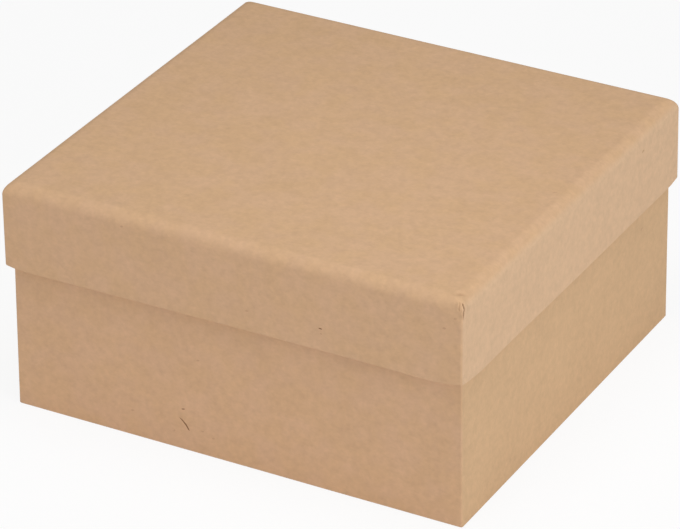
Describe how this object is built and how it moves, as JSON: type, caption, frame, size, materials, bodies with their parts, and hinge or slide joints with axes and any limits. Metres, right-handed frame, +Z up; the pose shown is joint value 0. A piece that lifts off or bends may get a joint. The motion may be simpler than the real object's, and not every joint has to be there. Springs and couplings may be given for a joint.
{
  "type": "cardboard craft box with lift-off lid",
  "caption": "Low rectangular gift or craft box of folded board covered with brown kraft paper, with a telescoping lid that lifts straight off the base.",
  "frame": {"origin": "middle of the base's underside, on the surface the box stands on", "axes": "+X along the width, +Y from the front to the back along the depth, +Z up through the lid"},
  "size_m": [0.15, 0.1416, 0.0746],
  "materials": {
    "kraft_board": "matt natural kraft paper over solid board"
  },
  "bodies": {
    "base": {"base": "kraft_board"},
    "lid": {"lid": "kraft_board"}
  },
  "joints": [
    {"name": "lid_lift", "type": "slide", "parent": "base", "child": "lid", "axis": [0, 0, 1], "range_m": [0, 0.09]}
  ]
}
